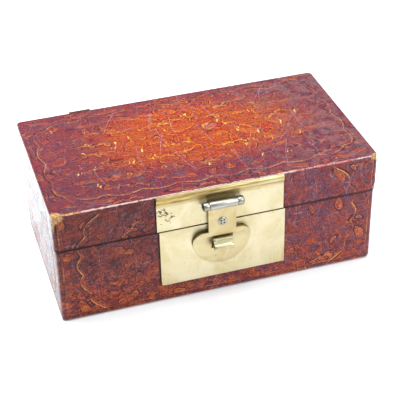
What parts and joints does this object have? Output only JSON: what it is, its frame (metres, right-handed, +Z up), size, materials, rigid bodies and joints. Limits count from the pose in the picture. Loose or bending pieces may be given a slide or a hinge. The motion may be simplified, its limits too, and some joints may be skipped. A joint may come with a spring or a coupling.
{
  "type": "leather jewellery case",
  "caption": "Rectangular leather-covered jewellery case with a hinged lid, silk lining, brass front plates and a swinging hasp over a padlock staple.",
  "frame": {"origin": "centre of the underside, where the case rests", "axes": "+X along the width to the right of someone facing the lock, -Y towards the lock, +Z up; stored closed with the hasp hanging over its staple"},
  "size_m": [0.2094, 0.129, 0.0809],
  "materials": {
    "leather": "tooled, painted in red, orange and gold over maroon, lacquered, worn at the edges",
    "wood": "bare softwood",
    "card": "dark card",
    "lining_silk": "red silk over card",
    "pad_silk": "red silk over wadding",
    "plate_brass": "satin, lightly scratched",
    "hasp_brass": "satin, rubbed at the edges",
    "hinge_brass": "satin, darkened round the nails",
    "nickel": "worn white metal"
  },
  "bodies": {
    "base": {"base_leather": "leather", "base_floor_board": "wood", "base_front_board": "wood", "base_back_board": "wood", "base_left_board": "wood", "base_right_board": "wood", "base_sole_card": "card", "base_front_lining": "lining_silk", "base_back_lining": "lining_silk", "base_left_lining": "lining_silk", "base_right_lining": "lining_silk", "base_floor_pad": "pad_silk", "lock_plate": "plate_brass", "staple": "hasp_brass", "base_hinge_leaf_left": "hinge_brass", "hinge_pin_left": "nickel", "base_hinge_nail_left_1": "hinge_brass", "base_hinge_nail_left_2": "hinge_brass", "base_hinge_leaf_right": "hinge_brass", "hinge_pin_right": "nickel", "base_hinge_nail_right_1": "hinge_brass", "base_hinge_nail_right_2": "hinge_brass"},
    "lid": {"lid_leather": "leather", "lid_top_board": "wood", "lid_front_board": "wood", "lid_back_board": "wood", "lid_left_board": "wood", "lid_right_board": "wood", "lid_front_lining": "lining_silk", "lid_back_lining": "lining_silk", "lid_left_lining": "lining_silk", "lid_right_lining": "lining_silk", "lid_pad": "pad_silk", "lid_plate": "plate_brass", "hasp_strap_left": "nickel", "hasp_strap_right": "nickel", "hasp_pin": "nickel", "lid_hinge_leaf_left": "hinge_brass", "lid_hinge_nail_left_1": "hinge_brass", "lid_hinge_nail_left_2": "hinge_brass", "lid_hinge_leaf_right": "hinge_brass", "lid_hinge_nail_right_1": "hinge_brass", "lid_hinge_nail_right_2": "hinge_brass"},
    "hasp": {"hasp": "hasp_brass", "hasp_rivet": "nickel"}
  },
  "joints": [
    {"name": "lid_hinge", "type": "hinge", "parent": "base", "child": "lid", "pos_m": [0, 0.0601, 0.05435], "axis": [-1, 0, 0], "range_deg": [0, 105]},
    {"name": "hasp_hinge", "type": "hinge", "parent": "lid", "child": "hasp", "pos_m": [0, -0.0629, 0.0709], "axis": [-1, 0, 0], "range_deg": [0, 205]}
  ]
}
